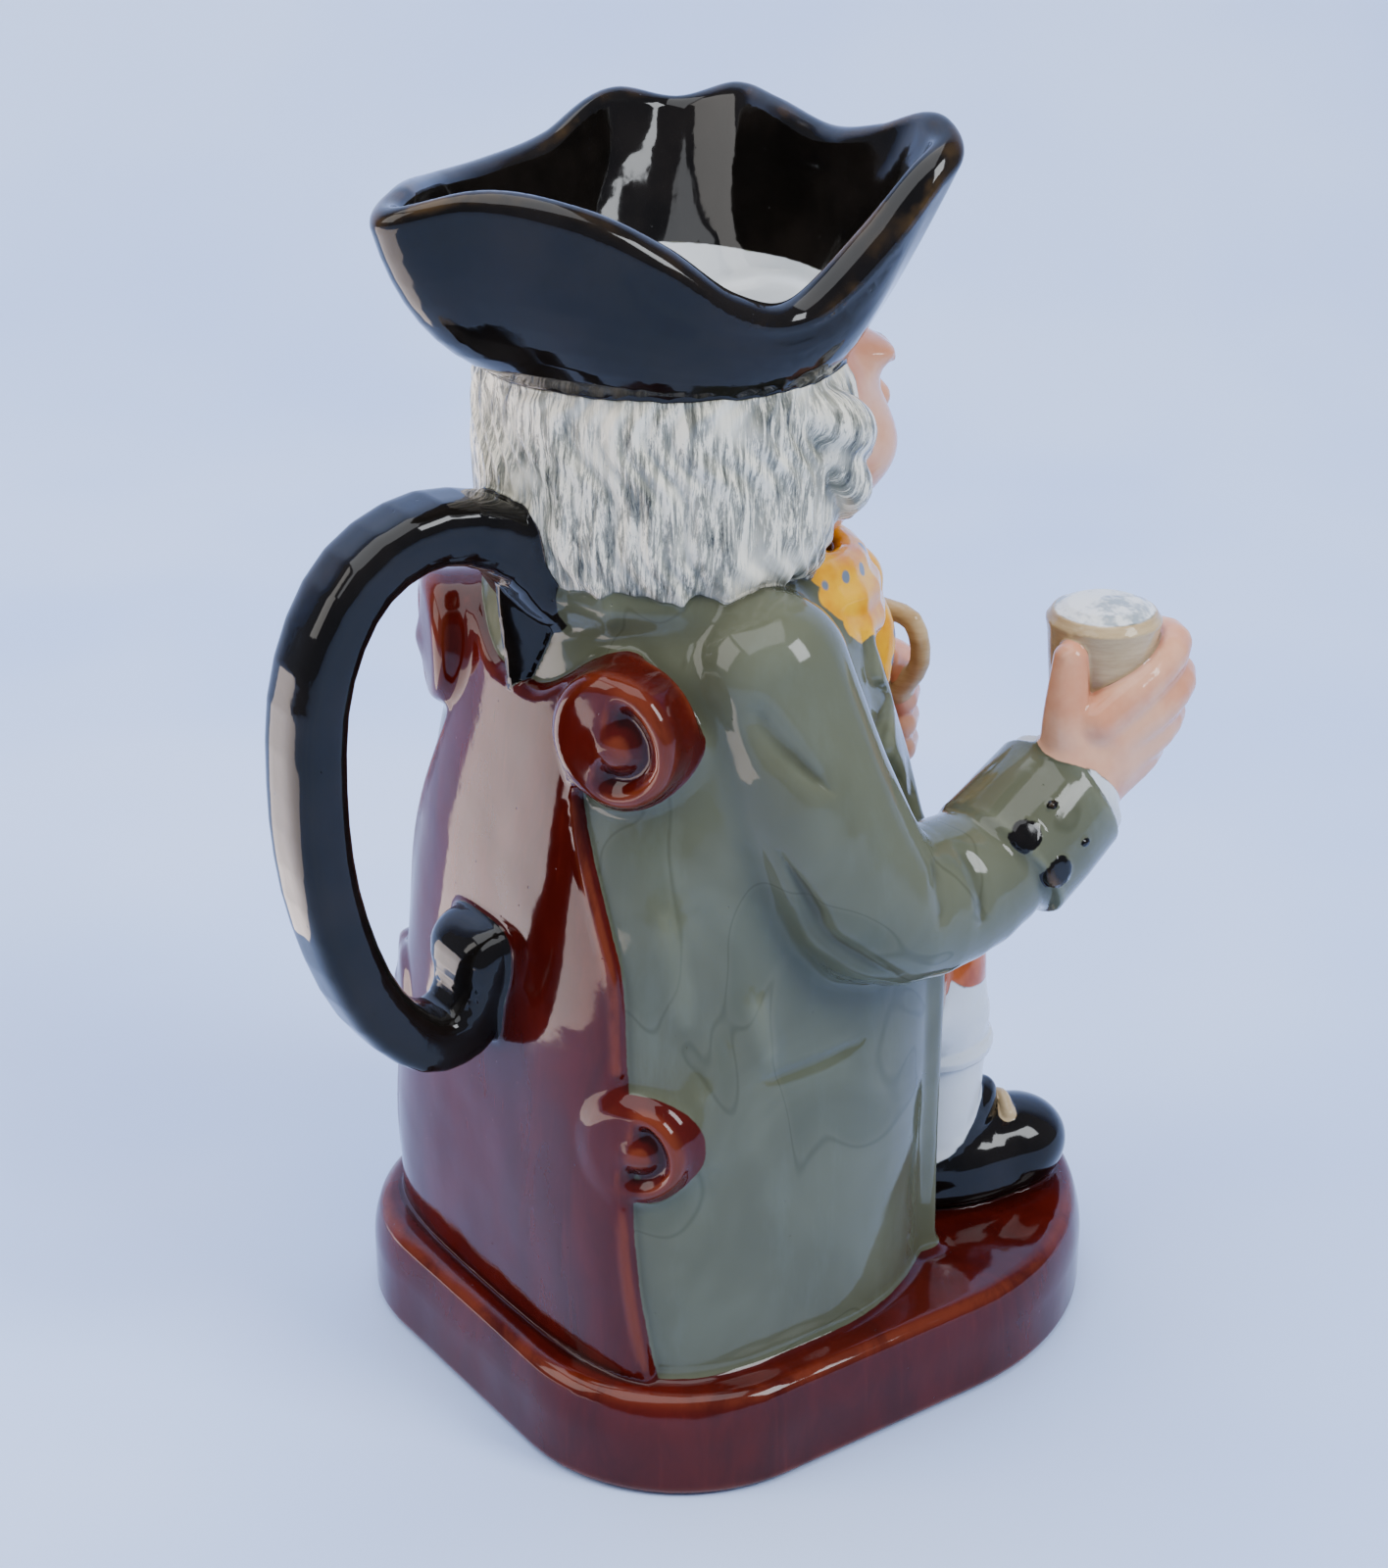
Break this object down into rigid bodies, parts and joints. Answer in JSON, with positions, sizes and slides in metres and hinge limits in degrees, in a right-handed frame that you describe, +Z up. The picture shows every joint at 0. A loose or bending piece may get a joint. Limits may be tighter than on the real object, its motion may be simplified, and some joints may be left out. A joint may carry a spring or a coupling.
{
  "type": "toby jug",
  "caption": "Hollow glazed earthenware jug shaped as a seated man in a three-cornered hat, lifting a beaker, with a loop handle at the back.",
  "frame": {"origin": "on the flat underside of the plinth, in the figure's mirror plane, under the middle of his head", "axes": "+Z up, the figure faces -Y, the loop handle is at +Y, and the raised beaker is at -X"},
  "size_m": [0.1162, 0.1635, 0.231],
  "materials": {
    "glazed_earthenware": "hand-painted under a clear high-gloss glaze: grey-green coat, black hat and handle, white hair, red-brown seat and plinth"
  },
  "bodies": {
    "root": {"toby_jug": "glazed_earthenware"}
  },
  "joints": []
}
